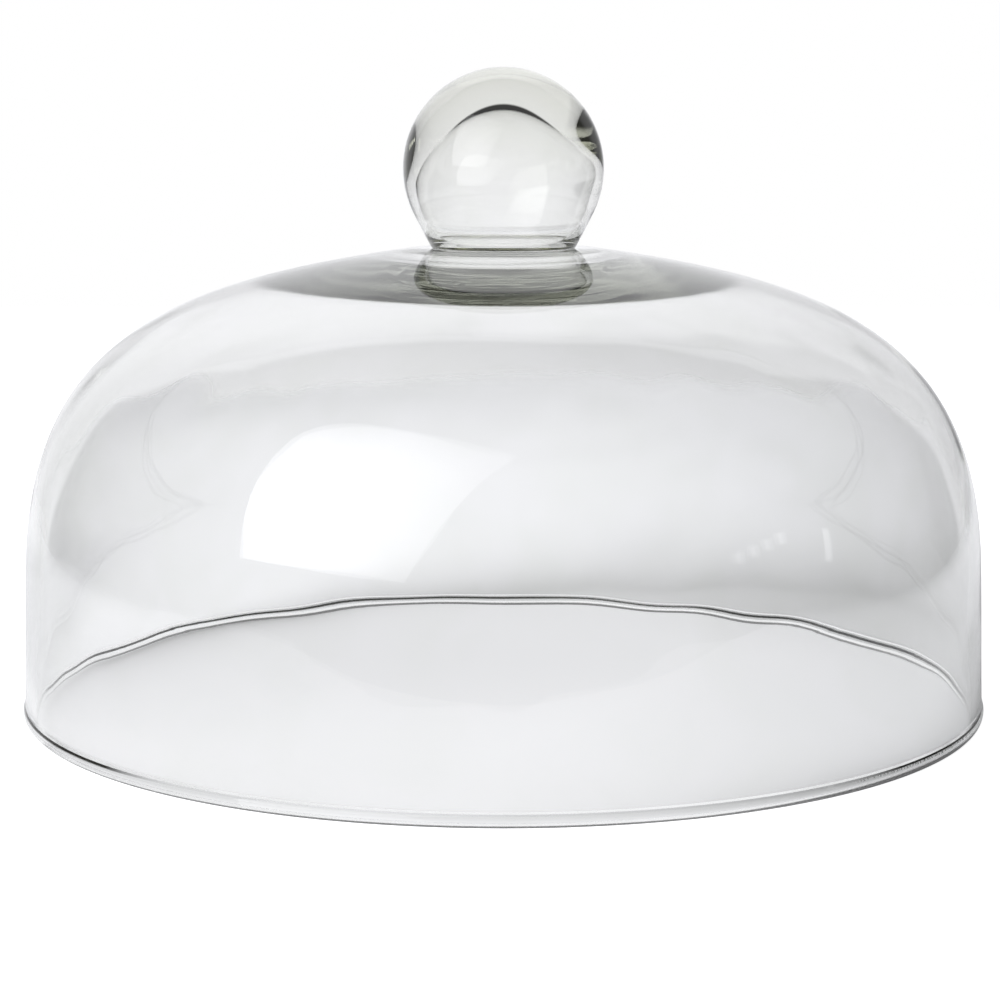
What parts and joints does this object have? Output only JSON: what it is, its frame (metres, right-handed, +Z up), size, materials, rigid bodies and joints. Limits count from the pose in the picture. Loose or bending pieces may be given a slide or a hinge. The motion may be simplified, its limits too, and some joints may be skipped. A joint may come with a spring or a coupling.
{
  "type": "glass dome cover",
  "caption": "Clear glass dome cover with an upright wall, round shoulder, beaded rim and hollow ball knob, set over food on a plate or stand.",
  "frame": {"origin": "middle of the rim, on the surface that the cover stands on", "axes": "+Z up along the axis of the dome, towards the knob; the cover is round, so +X and +Y are free"},
  "size_m": [0.28, 0.28, 0.184],
  "materials": {
    "rim_glass": "clear glass, fire polished",
    "dome_glass": "clear blown glass, slightly wavy",
    "knob_glass": "clear thick glass with a faint grey-green tint"
  },
  "bodies": {
    "root": {"rim_bead": "rim_glass", "dome_shell": "dome_glass", "ball_knob": "knob_glass"}
  },
  "joints": []
}
